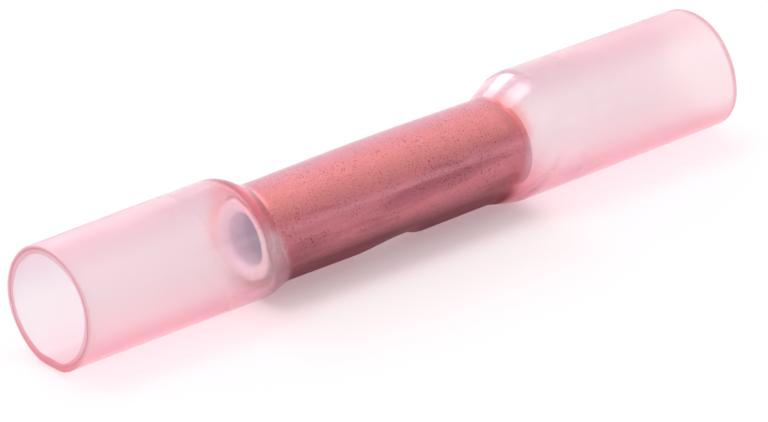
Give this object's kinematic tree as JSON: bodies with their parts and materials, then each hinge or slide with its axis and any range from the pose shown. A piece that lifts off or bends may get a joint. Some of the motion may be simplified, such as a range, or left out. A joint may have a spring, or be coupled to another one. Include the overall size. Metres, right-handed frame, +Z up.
{
  "type": "butt splice connector",
  "caption": "Insulated butt splice connector: a tinned crimp barrel in a translucent pink heat-shrink sleeve that is open and wide at both ends.",
  "frame": {"origin": "centre of the sleeve's box, on the axis of its two open ends, halfway along its length", "axes": "+X along the connector from the near mouth to the far mouth, +Z up as it lies, with the crimp barrel hanging low in the sleeve and the punched wire stop underneath"},
  "size_m": [0.0368, 0.0056, 0.0055],
  "materials": {
    "pink_sleeve": "satin",
    "tin_plate": "satin"
  },
  "bodies": {
    "root": {"heat_shrink_sleeve": "pink_sleeve", "crimp_barrel": "tin_plate"}
  },
  "joints": []
}
